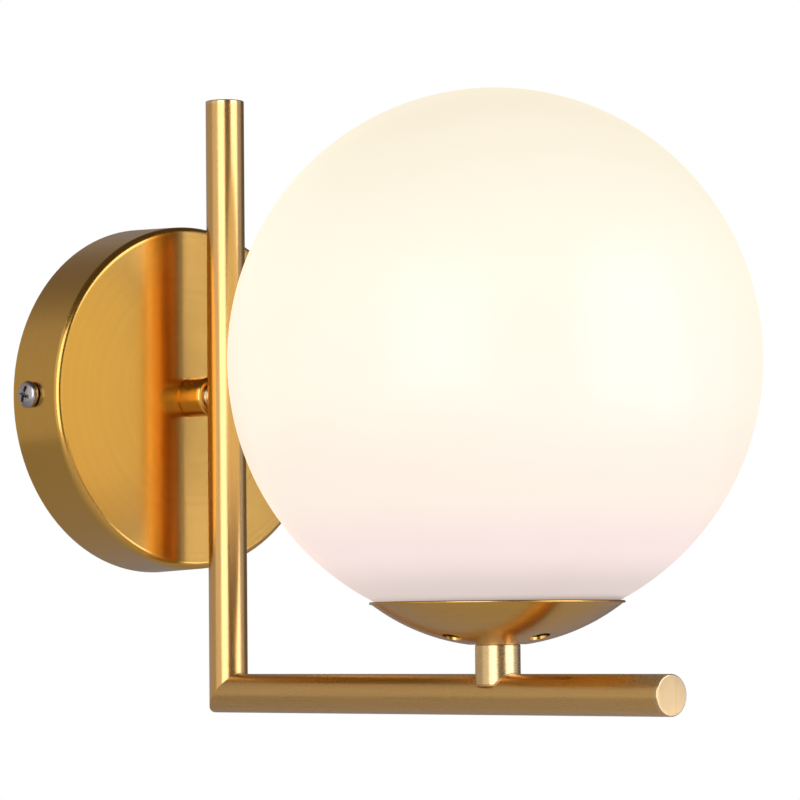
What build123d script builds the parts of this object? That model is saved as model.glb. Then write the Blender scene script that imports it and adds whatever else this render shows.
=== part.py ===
from build123d import *
import os
from math import acos, atan2, degrees, hypot, pi, sqrt

# Globe wall sconce: a round canopy on the wall carries an upright tube, a mitred arm and a cup with
# an opal glass globe. Sizes are millimetres. The origin is the centre of the canopy on the wall, Z is
# up and the light stands out from the wall along -Y. A distance from the wall is called "out".

# --- driving dimensions -------------------------------------------------------------------------

# canopy and its bracket
canopy_back_radius = 51.9
canopy_taper = 0.7
canopy_depth = 20.4
canopy_wall = 1.0
canopy_corner = 2.0
bracket_thickness = 1.5
bracket_width = 18.0
bracket_corner = 3.0
ear_gap = 0.4
ear_width = 14.0
ear_length = 13.0
side_screw_out = 8.1
wall_slot_spacing = 60.0
wall_slot_width = 4.5
wall_slot_length = 14.0
supply_hole_radius = 7.0
tab_width = 28.0
tab_margin = 2.0

# tubes and stand-off
tube_radius = 5.7
tube_wall = 1.0
upright_out = 35.8
upright_top = 87.7
arm_height = -88.2
arm_end_out = 219.4
end_cap_thickness = 1.2
end_cap_plug = 5.0
end_cap_edge = 0.35
standoff_radius = 6.0
standoff_chamfer = 0.6

# stem, cup and globe
globe_out = 152.2
globe_radius = 74.2
globe_half_height = 75.3
globe_wall = 2.6
mouth_radius = 24.0
mouth_round = 0.8
stem_radius = 6.3
stem_wall = 1.0
stem_skirt = 1.0
stem_height = 8.1
cup_land_radius = 8.0
cup_rim_radius = 35.4
cup_depth = 11.7
cup_wall = 0.7
vent_radius = 2.8
vent_ring_radius = 17.0
vent_count = 4

# hollow threaded nipples with their nuts and washers
nipple_radius = 3.95
nipple_bore = 3.0
nipple_clearance = 0.1
nipple_tail = 1.0
nut_across_flats = 13.0
nut_height = 3.0
washer_radius = 7.5
washer_thickness = 0.8
washer_teeth = 12
washer_tooth_depth = 1.2
washer_notch = 1.4

# globe fixing ring, collar and seals
spigot_wall = 1.4
spigot_floor = 1.0
spigot_lift = 0.6
spigot_proud = 0.5
spigot_window_radius = 4.0
spigot_window_edge = 0.9
thread_clearance = 0.35
collar_wall = 1.45
collar_height = 9.9
collar_drop = 1.65
bead_thickness = 0.4
gasket_offset = 1.5
gasket_width = 3.5
gasket_thickness = 1.12
gasket_clearance = 0.3

# lamp holder on its C bracket
strip_thickness = 1.0
strip_width = 12.0
strip_bend = 1.5
strip_overhang = 2.0
strip_tail = 8.0
strip_rise = 13.3
strip_wire_hole = 4.0
holder_length = 27.0
holder_width = 14.0
holder_height = 18.0
holder_corner = 2.5
holder_edge = 0.6
holder_counterbore_depth = 2.4
holder_end_wall = 0.8
holder_wire_bore = 3.25
pin_spacing = 9.0
pin_slot_length = 4.4
pin_slot_width = 2.2
pin_slot_depth = 15.0
contact_thickness = 0.35
contact_length = 3.6
contact_height = 11.0
contact_clearance = 0.05
contact_foot = 0.5
contact_foot_tip = 0.6

# push-in bulb
pin_wire_radius = 0.5
pin_loop_radius = 1.05
pin_length = 12.6
pin_root = 3.0
bulb_base_length = 15.0
bulb_base_width = 11.0
bulb_base_height = 12.0
bulb_base_corner = 3.0
bulb_base_edge = 0.6
bulb_radius = 8.0
bulb_cover_height = 37.0
bulb_neck_radius = 7.0
bulb_neck_height = 4.0
bulb_shoulder = 0.9
bulb_dome_flat = 0.2
bulb_seat_gap = 0.3

# terminal block
block_length = 30.0
block_height = 16.0
block_depth = 12.0
block_bottom = 18.0
block_edge = 0.8
pole_spacing = 10.0
pole_out = 5.5
clamp_radius = 2.3
clamp_clearance = 0.05
clamp_length = 10.0
clamp_bore = 1.45
screw_well = 1.9
clamp_screw_radius = 1.3
clamp_screw_spacing = 5.0
clamp_screw_length = 4.0
clamp_screw_slot = 0.5
clamp_screw_slot_depth = 0.7
clamp_screw_edge = 0.2
block_counterbore_depth = 2.4

# screws
thread_gap = 0.05
clear_hole_gap = 0.2
counterbore_gap = 0.2
pan_round_share = 0.6
nut_edge = 0.35
m4_radius = 1.95
m4_head_radius = 4.0
m4_head_height = 2.6
m4_length = 8.0
m3_radius = 1.45
m3_head_radius = 2.5
m3_head_height = 2.0
m3_nut_across_flats = 5.5
m3_nut_height = 2.4
m3_tail = 0.6
head_seat_gap = 0.15
earth_screw_x = 13.0
earth_screw_height = -4.8
earth_head_radius = 3.5

# wires and earth lug
wire_radius = 1.0
wire_core = 0.55
wire_gap = 0.05
wire_lift = 1.5
wire_shift = 2.6
wire_bare = 4.0
wire_strip_gap = 0.5
wire_drop = 6.0
earth_wire_drop = 4.0
earth_wire_rise = 3.0
earth_wire_entry = 2.0
canopy_bend = 7.0
earth_bend = 6.0
tube_bend = 14.0
corner_bend = 18.0
lug_ring_radius = 3.8
lug_thickness = 0.8
lug_barrel_radius = 1.6
lug_barrel_length = 4.0
lug_barrel_start = 5.3

# --- places worked out from the sizes ------------------------------------------------------------

# holes that follow what passes through them
nipple_hole = nipple_radius + nipple_clearance
m4_hole = m4_radius + thread_gap
m4_clear_hole = m4_radius + clear_hole_gap
m3_hole = m3_radius + thread_gap
m3_clear_hole = m3_radius + clear_hole_gap
m3_counterbore = m3_head_radius + counterbore_gap
pole_bore = clamp_radius + clamp_clearance
wire_side = wire_radius + wire_gap
lug_barrel_bore = wire_radius + wire_gap

# canopy, bracket and stand-off
canopy_front_radius = canopy_back_radius - canopy_taper
canopy_inside = canopy_depth - canopy_wall
draft = canopy_taper / canopy_depth
ear_room = canopy_back_radius - canopy_wall - draft * ear_length
ear_face = sqrt(ear_room**2 - (ear_width / 2) ** 2) - ear_gap
screw_seat = canopy_back_radius - draft * (side_screw_out - m4_head_radius) + head_seat_gap
tab_top = block_bottom + block_height + tab_margin
standoff_front = upright_out - tube_radius
feed_nipple_back = canopy_inside - washer_thickness - nut_height - nipple_tail
feed_nipple_front = standoff_front + tube_wall + nipple_tail / 2

# the cup's dish is an arc from the edge of its flat land to its rim, about a centre on the axis
cup_floor_height = arm_height + tube_radius + stem_height
cup_rim_height = cup_floor_height + cup_depth
cup_inside = cup_floor_height + cup_wall
cup_centre = (cup_rim_height + cup_floor_height) / 2
cup_centre += (cup_rim_radius**2 - cup_land_radius**2) / (2 * cup_depth)
cup_radius = hypot(cup_land_radius, cup_floor_height - cup_centre)


def cup_inner_height(radius):
    """Height of the cup's inside at this distance from its axis."""
    return cup_centre - sqrt((cup_radius - cup_wall) ** 2 - radius**2)


def globe_drop(radius):
    """How far the lower outside of the globe lies below its centre at this distance from its axis."""
    return globe_half_height * sqrt(1 - (radius / globe_radius) ** 2)


# the globe rests on its gasket, and the collar cemented in its mouth screws on to the spigot
gasket_inner_radius = mouth_radius + gasket_offset
gasket_outer_radius = gasket_inner_radius + gasket_width
gasket_middle_radius = gasket_inner_radius + gasket_width / 2
gasket_space = gasket_thickness + 2 * gasket_clearance
globe_height = cup_inner_height(gasket_middle_radius) + gasket_space + globe_drop(gasket_middle_radius)
mouth_height = globe_height - globe_drop(mouth_radius)
collar_outer_radius = mouth_radius - bead_thickness
collar_inner_radius = collar_outer_radius - collar_wall
collar_bottom = mouth_height - collar_drop
collar_top = collar_bottom + collar_height
spigot_radius = collar_inner_radius - thread_clearance
spigot_bottom = cup_inner_height(spigot_radius) + spigot_lift
spigot_top = collar_top + spigot_proud
spigot_window_ring = spigot_radius - spigot_wall - spigot_window_edge - spigot_window_radius

# the stack on the stem's nipple, from the cup up to the bulb
cup_nut_bottom = cup_inside + washer_thickness
cup_nut_height = spigot_bottom - cup_nut_bottom
strip_bottom = spigot_bottom + spigot_floor
holder_nut_bottom = strip_bottom + strip_thickness
stem_nipple_top = holder_nut_bottom + nut_height + nipple_tail
strip_top = strip_bottom + strip_rise
holder_bottom = strip_top
holder_top = holder_bottom + holder_height
holder_screw_seat = holder_top - holder_counterbore_depth
holder_screw_spacing = holder_length - 2 * (m3_counterbore + holder_end_wall)
slot_bottom = holder_top - pin_slot_depth
bulb_bottom = holder_top + bulb_seat_gap
bulb_cover_bottom = bulb_bottom + bulb_base_height

FACE_OUT = Rot(90, 0, 0)  # turns a piece drawn face up (x, z, out) to stand on the wall
GLOBE_AXIS = Pos(0, -globe_out, 0)


def at(x, out, z):
    """A point given by its side offset, its distance from the wall and its height."""
    return Vector(x, -out, z)


def bar(radius, start, end):
    """A round bar from one point to another."""
    length = end - start
    return extrude(Plane(origin=start, z_dir=length) * Circle(radius), length.length)


def upright_bar(radius, bottom, top):
    """A round bar on the Z axis."""
    return Pos(0, 0, bottom) * extrude(Circle(radius), top - bottom)


def ring(outer, inner, bottom, top):
    """A plain ring on the Z axis."""
    return upright_bar(outer, bottom, top) - upright_bar(inner, bottom, top)


def hex_nut(across_flats, bore, bottom, height):
    """A hexagon nut on the Z axis with its corners turned off."""
    blank = extrude(RegularPolygon(across_flats / 2, 6, major_radius=False), height)
    corner = across_flats / sqrt(3)
    turned = chamfer(extrude(Circle(corner), height).edges().filter_by(GeomType.CIRCLE), nut_edge)
    return Pos(0, 0, bottom) * ((blank & turned) - extrude(Circle(bore), height))


def toothed_washer(bottom):
    """A washer on the Z axis with notches between its outer teeth."""
    disc = ring(washer_radius, nipple_hole, 0, washer_thickness)
    notch = Pos(washer_radius, 0, washer_thickness / 2)
    notch *= Box(2 * washer_tooth_depth, washer_notch, 2 * washer_thickness)
    for turn in range(washer_teeth):
        disc -= Rot(0, 0, turn * 360 / washer_teeth) * notch
    return Pos(0, 0, bottom) * disc


def pan_screw(head_radius, head_height, shank_radius, length):
    """A pan head screw, head up, with the underside of its head at the origin."""
    head = extrude(Circle(head_radius), head_height)
    head = fillet(head.edges().group_by(Axis.Z)[-1], pan_round_share * head_height)
    shank = extrude(Circle(shank_radius), -length)
    return head + chamfer(shank.edges().group_by(Axis.Z)[0], shank_radius / 3)


# --- canopy and wall bracket ---------------------------------------------------------------------


def canopy_blank(back_radius, front_radius, depth, corner):
    """The turned form of the canopy, face up: a slight cone with a rounded front edge."""
    cone = Cone(back_radius, front_radius, depth, align=(Align.CENTER, Align.CENTER, Align.MIN))
    return fillet(cone.edges().group_by(Axis.Z)[-1], corner)


def make_canopy():
    outside = canopy_blank(canopy_back_radius, canopy_front_radius, canopy_depth, canopy_corner)
    inside = canopy_blank(
        canopy_back_radius - canopy_wall,
        canopy_front_radius - canopy_wall,
        canopy_inside,
        canopy_corner - canopy_wall,
    )
    shell = FACE_OUT * (outside - inside - extrude(Circle(nipple_hole), canopy_depth))
    for side in (-1, 1):
        start = at(side * (ear_face - bracket_thickness), side_screw_out, 0)
        end = at(side * (canopy_back_radius + canopy_wall), side_screw_out, 0)
        shell -= bar(m4_clear_hole, start, end)
    return shell


def make_bracket():
    cross_bar = Rectangle(2 * ear_face, ear_width)
    middle = RectangleRounded(wall_slot_spacing + 2 * wall_slot_length, bracket_width, bracket_corner)
    tab = Pos(0, tab_top / 2) * RectangleRounded(tab_width, tab_top, bracket_corner)
    plate = extrude(cross_bar + middle + tab, bracket_thickness)
    slot = extrude(SlotOverall(wall_slot_length, wall_slot_width), bracket_thickness)
    plate -= extrude(Circle(supply_hole_radius), bracket_thickness)
    plate -= Pos(earth_screw_x, earth_screw_height) * extrude(Circle(m4_hole), bracket_thickness)
    plate -= Pos(*block_screw_place()) * extrude(Circle(m3_hole), bracket_thickness)
    for side in (-1, 1):
        plate -= Pos(side * wall_slot_spacing / 2, 0) * slot
        ear = Box(bracket_thickness, ear_width, ear_length, align=(Align.CENTER, Align.CENTER, Align.MIN))
        ear = fillet(ear.edges().filter_by(Axis.X).group_by(Axis.Z)[-1], bracket_corner)
        plate += Pos(side * (ear_face - bracket_thickness / 2), 0) * ear
    bracket = FACE_OUT * plate
    for side in (-1, 1):
        start = at(side * (ear_face - 2 * bracket_thickness), side_screw_out, 0)
        end = at(side * (ear_face + bracket_thickness), side_screw_out, 0)
        bracket -= bar(m4_hole, start, end)
    return bracket


def make_side_screws():
    screw = pan_screw(m4_head_radius, m4_head_height, m4_radius, m4_length)
    screws = []
    for side in (-1, 1):
        place = Location(Plane(origin=at(side * screw_seat, side_screw_out, 0), z_dir=(side, 0, 0)))
        screws.append(place * screw)
    return screws


# --- terminal block ------------------------------------------------------------------------------


def block_middle():
    return block_bottom + block_height / 2


def block_screw_place():
    """The block's own screw stands between its last two poles."""
    return pole_spacing / 2, block_middle()


def pole_places():
    return [pole_spacing * (pole - 1) for pole in range(3)]


def clamp_screw_places():
    for x in pole_places():
        for side in (-1, 1):
            yield x, block_middle() + side * clamp_screw_spacing / 2


def make_terminal_block():
    body = Box(block_length, block_height, block_depth, align=(Align.CENTER, Align.MIN, Align.MIN))
    body = fillet(body.edges().filter_by(Axis.Z), block_edge)
    body = Pos(0, block_bottom, bracket_thickness) * body
    for x in pole_places():
        bore = Pos(x, block_bottom, bracket_thickness + pole_out) * Rot(-90, 0, 0)
        body -= bore * extrude(Circle(pole_bore), block_height)
    front = bracket_thickness + block_depth
    for x, z in clamp_screw_places():
        body -= Pos(x, z, front) * extrude(Circle(screw_well), pole_out - block_depth)
    screw_axis = Pos(*block_screw_place(), front)
    body -= screw_axis * extrude(Circle(m3_clear_hole), -block_depth)
    body -= screw_axis * extrude(Circle(m3_counterbore), -block_counterbore_depth)
    return FACE_OUT * body


def make_terminal_clamps():
    """Brass tubes in the block's bores, tapped for two screws each."""
    clamps = []
    bottom = block_middle() - clamp_length / 2
    for x in pole_places():
        axis = Pos(x, bottom, bracket_thickness + pole_out) * Rot(-90, 0, 0)
        tube = axis * ring(clamp_radius, clamp_bore, 0, clamp_length)
        for side in (-1, 1):
            z = block_middle() + side * clamp_screw_spacing / 2
            tube -= Pos(x, z, bracket_thickness + pole_out) * extrude(Circle(clamp_screw_radius), pole_out)
        clamps.append(FACE_OUT * tube)
    return clamps


def make_terminal_screws():
    tip = bracket_thickness + pole_out + wire_core
    screw = chamfer(extrude(Circle(clamp_screw_radius), clamp_screw_length).edges(), clamp_screw_edge)
    slot = Box(2 * clamp_screw_radius, clamp_screw_slot, 2 * clamp_screw_slot_depth)
    screw -= Pos(0, 0, clamp_screw_length) * slot
    return [FACE_OUT * (Pos(x, z, tip) * screw) for x, z in clamp_screw_places()]


def make_block_screw():
    seat = bracket_thickness + block_depth - block_counterbore_depth
    screw = pan_screw(m3_head_radius, m3_head_height, m3_radius, seat)
    return FACE_OUT * (Pos(*block_screw_place(), seat) * screw)


# --- frame tubes ---------------------------------------------------------------------------------


def mitre_plane():
    """The 45 degree joint of upright and arm; the upright is on the side it faces."""
    return Plane(origin=at(0, upright_out, arm_height), x_dir=(1, 0, 0), z_dir=(0, 1, 1))


def make_standoff():
    body = upright_bar(standoff_radius, canopy_depth, standoff_front)
    body = chamfer(body.edges().group_by(Axis.Z)[-1], standoff_chamfer)
    return FACE_OUT * (body - upright_bar(nipple_hole, canopy_depth, standoff_front))


def make_feed_nipple():
    return FACE_OUT * ring(nipple_radius, nipple_bore, feed_nipple_back, feed_nipple_front)


def make_feed_nipple_nut():
    bottom = feed_nipple_back + nipple_tail
    return FACE_OUT * hex_nut(nut_across_flats, nipple_hole, bottom, nut_height)


def make_feed_nipple_washer():
    return FACE_OUT * toothed_washer(canopy_inside - washer_thickness)


def make_upright_tube():
    top = at(0, upright_out, upright_top - end_cap_thickness)
    bottom = at(0, upright_out, arm_height - 2 * tube_radius)
    tube = bar(tube_radius, bottom, top) - bar(tube_radius - tube_wall, bottom, top)
    tube = split(tube, bisect_by=mitre_plane(), keep=Keep.TOP)
    return tube - bar(nipple_hole, at(0, canopy_depth, 0), at(0, upright_out, 0))


def make_arm_tube():
    start = at(0, upright_out - 2 * tube_radius, arm_height)
    end = at(0, arm_end_out - end_cap_thickness, arm_height)
    tube = bar(tube_radius, start, end) - bar(tube_radius - tube_wall, start, end)
    tube = split(tube, bisect_by=mitre_plane(), keep=Keep.BOTTOM)
    axis = at(0, globe_out, arm_height)
    return tube - bar(nipple_hole, axis, at(0, globe_out, cup_floor_height))


def end_cap():
    """A plug with a flush head: the head's outer face is at the origin and the plug points down."""
    head = extrude(Circle(tube_radius), -end_cap_thickness)
    head = fillet(head.edges().group_by(Axis.Z)[-1], end_cap_edge)
    plug = extrude(Circle(tube_radius - tube_wall), -end_cap_thickness - end_cap_plug)
    return head + chamfer(plug.edges().group_by(Axis.Z)[0], end_cap_edge)


def make_upright_end_cap():
    return Location(Plane(origin=at(0, upright_out, upright_top))) * end_cap()


def make_arm_end_cap():
    return Location(Plane(origin=at(0, arm_end_out, arm_height), z_dir=(0, -1, 0))) * end_cap()


def make_stem():
    """A short tube whose lower end straddles the arm like a saddle."""
    tube = ring(stem_radius, stem_radius - stem_wall, arm_height + stem_skirt, cup_floor_height)
    start = at(0, globe_out - 2 * stem_radius, arm_height)
    end = at(0, globe_out + 2 * stem_radius, arm_height)
    return GLOBE_AXIS * tube - bar(tube_radius, start, end)


# --- cup and globe fixing ------------------------------------------------------------------------


def make_stem_nipple():
    bottom = arm_height + tube_radius - tube_wall
    return GLOBE_AXIS * ring(nipple_radius, nipple_bore, bottom, stem_nipple_top)


def make_cup():
    """A dish of even wall: a flat land round the stem, then one arc out to the rim."""
    outer = dish_section(cup_radius, cup_floor_height)
    inner = dish_section(cup_radius - cup_wall, cup_inside)
    dish = revolve(Plane.XZ * (outer - inner), Axis.Z)
    dish -= upright_bar(nipple_hole, cup_floor_height, cup_inside)
    for turn in range(vent_count):
        vent = Pos(vent_ring_radius, 0) * upright_bar(vent_radius, cup_floor_height, cup_rim_height)
        dish -= Rot(0, 0, turn * 360 / vent_count) * vent
    return GLOBE_AXIS * dish


def dish_section(radius, floor):
    """Half the area between a dish of this radius and the plane of the rim."""
    land = sqrt(radius**2 - (cup_centre - floor) ** 2)
    edge = sqrt(radius**2 - (cup_centre - cup_rim_height) ** 2)
    start = degrees(atan2(floor - cup_centre, land))
    end = degrees(atan2(cup_rim_height - cup_centre, edge))
    arc = CenterArc((0, cup_centre), radius, start, end - start)
    sides = Polyline((edge, cup_rim_height), (0, cup_rim_height), (0, floor), (land, floor))
    return make_face([arc, sides])


def make_cup_washer():
    return GLOBE_AXIS * toothed_washer(cup_inside)


def make_cup_nut():
    return GLOBE_AXIS * hex_nut(nut_across_flats, nipple_hole, cup_nut_bottom, cup_nut_height)


def make_thread_spigot():
    """The ring that the collar screws on to, open below through four windows over the vents."""
    body = upright_bar(spigot_radius, spigot_bottom, spigot_top)
    body -= upright_bar(spigot_radius - spigot_wall, strip_bottom, spigot_top)
    body -= upright_bar(nipple_hole, spigot_bottom, strip_bottom)
    for turn in range(vent_count):
        window = upright_bar(spigot_window_radius, spigot_bottom, strip_bottom)
        body -= Rot(0, 0, turn * 360 / vent_count) * Pos(spigot_window_ring, 0) * window
    return GLOBE_AXIS * body


def make_glass_collar():
    return GLOBE_AXIS * ring(collar_outer_radius, collar_inner_radius, collar_bottom, collar_top)


def make_collar_bead():
    """Silicone between the collar and the edge of the glass."""
    bottom = mouth_height + mouth_round
    return GLOBE_AXIS * ring(mouth_radius, collar_outer_radius, bottom, mouth_height + globe_wall)


def meridian(radius, half_height):
    """One side of the globe's outline, from the mouth round to the top, as a stretched circle."""
    mouth_angle = -degrees(acos(mouth_radius / radius))
    return scale(CenterArc((0, 0), radius, mouth_angle, 90 - mouth_angle), (1, half_height / radius, 1))


def make_globe():
    """Blown glass: an egg slightly taller than wide, hollow, with a round mouth below."""
    outer = meridian(globe_radius, globe_half_height)
    inner = meridian(globe_radius - globe_wall, globe_half_height - globe_wall)
    axis = Line((0, globe_half_height), (0, globe_half_height - globe_wall))
    section = make_face([outer, axis, inner, Line(inner @ 0, outer @ 0)])
    section = fillet(section.vertices().group_by(Axis.Y)[:2], mouth_round)
    return GLOBE_AXIS * Pos(0, 0, globe_height) * revolve(Plane.XZ * section, Axis.Z)


def make_globe_gasket():
    """A thin conical seal that lies between the glass and the cup without touching either."""
    radii = (gasket_inner_radius, gasket_outer_radius)
    lower = [(radius, cup_inner_height(radius) + gasket_clearance) for radius in radii]
    glass = [(radius, globe_height - globe_drop(radius)) for radius in reversed(radii)]
    upper = [(radius, height - gasket_clearance) for radius, height in glass]
    section = make_face(Polyline(*lower, *upper, close=True))
    return GLOBE_AXIS * revolve(Plane.XZ * section, Axis.Z)


# --- lamp holder ---------------------------------------------------------------------------------


def make_holder_bracket():
    """A steel strip bent to a C: its foot is clamped on the nipple and its top carries the ceramic."""
    middle = strip_thickness / 2
    leg = middle - holder_length / 2 - strip_overhang
    points = [
        (strip_tail, strip_bottom + middle),
        (leg, strip_bottom + middle),
        (leg, strip_top - middle),
        (holder_length / 2, strip_top - middle),
    ]
    centre_line = FilletPolyline(*points, radius=strip_bend)
    section = trace(centre_line, strip_thickness)
    strip = extrude(Plane.XZ * section, strip_width / 2, both=True)
    strip -= upright_bar(nipple_hole, strip_bottom, holder_nut_bottom)
    strip -= upright_bar(strip_wire_hole, strip_top - strip_thickness, strip_top)
    for x in holder_screw_places():
        strip -= Pos(x, 0) * upright_bar(m3_clear_hole, strip_top - strip_thickness, strip_top)
    return GLOBE_AXIS * strip


def holder_screw_places():
    return -holder_screw_spacing / 2, holder_screw_spacing / 2


def pin_places():
    return -pin_spacing / 2, pin_spacing / 2


def make_holder_nut():
    return GLOBE_AXIS * hex_nut(nut_across_flats, nipple_hole, holder_nut_bottom, nut_height)


def make_lamp_holder():
    """A ceramic block with a slot for each pin and one bore for the wires from below."""
    body = extrude(RectangleRounded(holder_length, holder_width, holder_corner), holder_height)
    body = Pos(0, 0, holder_bottom) * body
    body = chamfer(body.edges().group_by(Axis.Z)[-1], holder_edge)
    body -= upright_bar(holder_wire_bore, holder_bottom, slot_bottom)
    for side, x in zip((-1, 1), pin_places()):
        slot = Rectangle(pin_slot_length, pin_slot_width)
        body -= Pos(x, 0, slot_bottom) * extrude(slot, pin_slot_depth)
        inner = side * (contact_foot_tip - contact_clearance)
        foot = Pos((inner + x) / 2, 0) * Rectangle(abs(x - inner), pin_slot_width)
        body -= Pos(0, 0, slot_bottom) * extrude(foot, contact_foot + contact_clearance)
    for x in holder_screw_places():
        body -= Pos(x, 0) * upright_bar(m3_clear_hole, holder_bottom, holder_top)
        body -= Pos(x, 0) * upright_bar(m3_counterbore, holder_screw_seat, holder_top)
    return GLOBE_AXIS * body


def make_holder_contacts():
    """Two spring strips beside each pin, joined by a foot that reaches in to the wire."""
    contacts = []
    inside = pin_wire_radius + contact_clearance
    for side, x in zip((-1, 1), pin_places()):
        outer = x + side * contact_length / 2
        inner = side * contact_foot_tip
        width = 2 * (inside + contact_thickness)
        foot = Pos((outer + inner) / 2, 0) * Rectangle(abs(outer - inner), width)
        contact = extrude(foot, contact_foot)
        for face in (-1, 1):
            y = face * (inside + contact_thickness / 2)
            leaf = Pos(x, y) * Rectangle(contact_length, contact_thickness)
            contact += extrude(leaf, contact_height)
        contacts.append(GLOBE_AXIS * Pos(0, 0, slot_bottom) * contact)
    return contacts


def make_holder_screws():
    length = holder_screw_seat - strip_top + strip_thickness + m3_nut_height + m3_tail
    screw = pan_screw(m3_head_radius, m3_head_height, m3_radius, length)
    return [GLOBE_AXIS * Pos(x, 0, holder_screw_seat) * screw for x in holder_screw_places()]


def make_holder_nuts():
    bottom = strip_top - strip_thickness - m3_nut_height
    nut = hex_nut(m3_nut_across_flats, m3_hole, bottom, m3_nut_height)
    return [GLOBE_AXIS * Pos(x, 0) * nut for x in holder_screw_places()]


# --- bulb ----------------------------------------------------------------------------------------


def make_bulb_pins():
    """Each pin is one wire bent back on itself in a loop."""
    pins = []
    root = bulb_bottom + pin_root
    bend = bulb_bottom - pin_length + pin_loop_radius
    for x in pin_places():
        left = Line((x - pin_loop_radius, root), (x - pin_loop_radius, bend))
        turn = CenterArc((x, bend), pin_loop_radius, 180, 180)
        right = Line((x + pin_loop_radius, bend), (x + pin_loop_radius, root))
        path = Plane.XZ * Wire([left, turn, right])
        start = Plane(origin=path @ 0, z_dir=path % 0)
        pins.append(GLOBE_AXIS * sweep(start * Circle(pin_wire_radius), path))
    return pins


def make_bulb_base():
    body = extrude(RectangleRounded(bulb_base_length, bulb_base_width, bulb_base_corner), bulb_base_height)
    body = chamfer(body.edges().group_by(Axis.Z)[0], bulb_base_edge)
    body = Pos(0, 0, bulb_bottom) * body
    for x in pin_places():
        for side in (-1, 1):
            leg = Pos(x + side * pin_loop_radius, 0)
            body -= leg * upright_bar(pin_wire_radius, bulb_bottom, bulb_bottom + pin_root)
    return GLOBE_AXIS * body


def make_bulb_cover():
    """A capsule: a narrow neck on the base, a round shoulder and a domed top."""
    neck = upright_bar(bulb_neck_radius, 0, bulb_neck_height)
    body = upright_bar(bulb_radius, bulb_neck_height, bulb_cover_height)
    body = fillet(body.edges().group_by(Axis.Z)[-1], bulb_radius - bulb_dome_flat)
    body = fillet(body.edges().group_by(Axis.Z)[0], bulb_shoulder)
    return GLOBE_AXIS * Pos(0, 0, bulb_cover_bottom) * (neck + body)


# --- wires ---------------------------------------------------------------------------------------


def insulated_wire(name, points, radii, bare_start, bare_end):
    """A wire along straight runs and arcs, with a bare core standing out at each end."""
    path = FilletPolyline(*points, radius=radii)
    start = Plane(origin=path @ 0, z_dir=path % 0)
    cover = sweep(start * Circle(wire_radius), path)
    along = pi * wire_radius**2 * path.length
    print(name, "bend radii", radii, "length", round(path.length, 1), "volume", cover.volume / along)
    back = path @ 0 - (path % 0) * bare_start
    front = path @ 1 + (path % 1) * bare_end
    return cover + bar(wire_core, back, path @ 0) + bar(wire_core, path @ 1, front)


def clamp_end():
    return block_middle() - clamp_length / 2


def phase_wire(name, pole_x, x):
    """From the terminal block through nipple, upright, arm and stem to the lamp holder."""
    out = bracket_thickness + pole_out
    low = arm_height - wire_shift
    points = [
        at(pole_x, out, clamp_end()),
        at(pole_x, out, block_bottom - wire_drop),
        at(x, out, wire_lift),
        at(x, upright_out + wire_shift, wire_lift),
        at(x, upright_out - wire_shift, low),
        at(x, globe_out + wire_lift, low),
        at(x, globe_out + wire_lift, slot_bottom - wire_strip_gap - wire_radius),
    ]
    radii = [canopy_bend, canopy_bend, tube_bend, corner_bend, tube_bend]
    return insulated_wire(name, points, radii, wire_bare, wire_strip_gap + wire_radius)


def make_earth_wire():
    out = bracket_thickness + pole_out
    lug_out = bracket_thickness + lug_barrel_radius
    top = earth_screw_height + lug_barrel_start + lug_barrel_length
    points = [
        at(pole_spacing, out, clamp_end()),
        at(pole_spacing, out, block_bottom - earth_wire_drop),
        at(earth_screw_x, lug_out, top + earth_wire_rise),
        at(earth_screw_x, lug_out, top - earth_wire_entry),
    ]
    return insulated_wire("earth_wire", points, [earth_bend] * 2, wire_bare, wire_radius)


def make_earth_lug():
    """A ring under the earth screw, a tongue and a crimp barrel."""
    eye = extrude(Circle(lug_ring_radius), lug_thickness)
    tongue = Pos(0, lug_barrel_start / 2) * Rectangle(2 * lug_barrel_radius, lug_barrel_start)
    eye += extrude(tongue, lug_thickness)
    barrel = Pos(0, lug_barrel_start, lug_barrel_radius) * Rot(-90, 0, 0)
    eye += barrel * extrude(Circle(lug_barrel_radius), lug_barrel_length)
    eye -= barrel * extrude(Circle(lug_barrel_bore), lug_barrel_length)
    eye -= extrude(Circle(m4_clear_hole), lug_thickness)
    return FACE_OUT * (Pos(earth_screw_x, earth_screw_height, bracket_thickness) * eye)


def make_earth_screw():
    seat = bracket_thickness + lug_thickness
    screw = pan_screw(earth_head_radius, m4_head_height, m4_radius, seat)
    return FACE_OUT * (Pos(earth_screw_x, earth_screw_height, seat) * screw)


# --- all pieces ----------------------------------------------------------------------------------

left_pole, middle_pole, right_pole = pole_places()

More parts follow.
